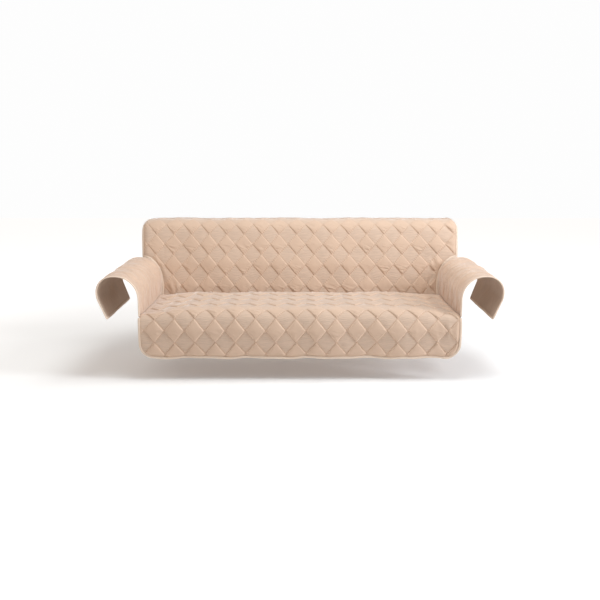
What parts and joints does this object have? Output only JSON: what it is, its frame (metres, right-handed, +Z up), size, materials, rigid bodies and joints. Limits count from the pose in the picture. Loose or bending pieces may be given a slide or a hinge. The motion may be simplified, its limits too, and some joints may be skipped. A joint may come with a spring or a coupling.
{
  "type": "sofa slipcover",
  "caption": "Quilted cloth cover that hangs over a sofa's back, seat, front and rolled arms, with bound edges and rounded lower corners.",
  "frame": {"origin": "under the middle of the cover's top edge, on the underside of the cloth where it lies on the sofa's back", "axes": "+Z up; the sofa's front faces -Y; +X runs along the sofa's length"},
  "size_m": [2.2638, 0.9811, 0.7328],
  "materials": {
    "quilted_cloth": "matte brushed cloth, diamond quilted",
    "edging_cloth": "matte folded binding"
  },
  "bodies": {
    "root": {"main_panel": "quilted_cloth", "arm_panel_left": "quilted_cloth", "arm_panel_right": "quilted_cloth", "binding_tongue": "edging_cloth", "binding_back": "edging_cloth", "binding_arm_left": "edging_cloth", "binding_arm_right": "edging_cloth"}
  },
  "joints": []
}
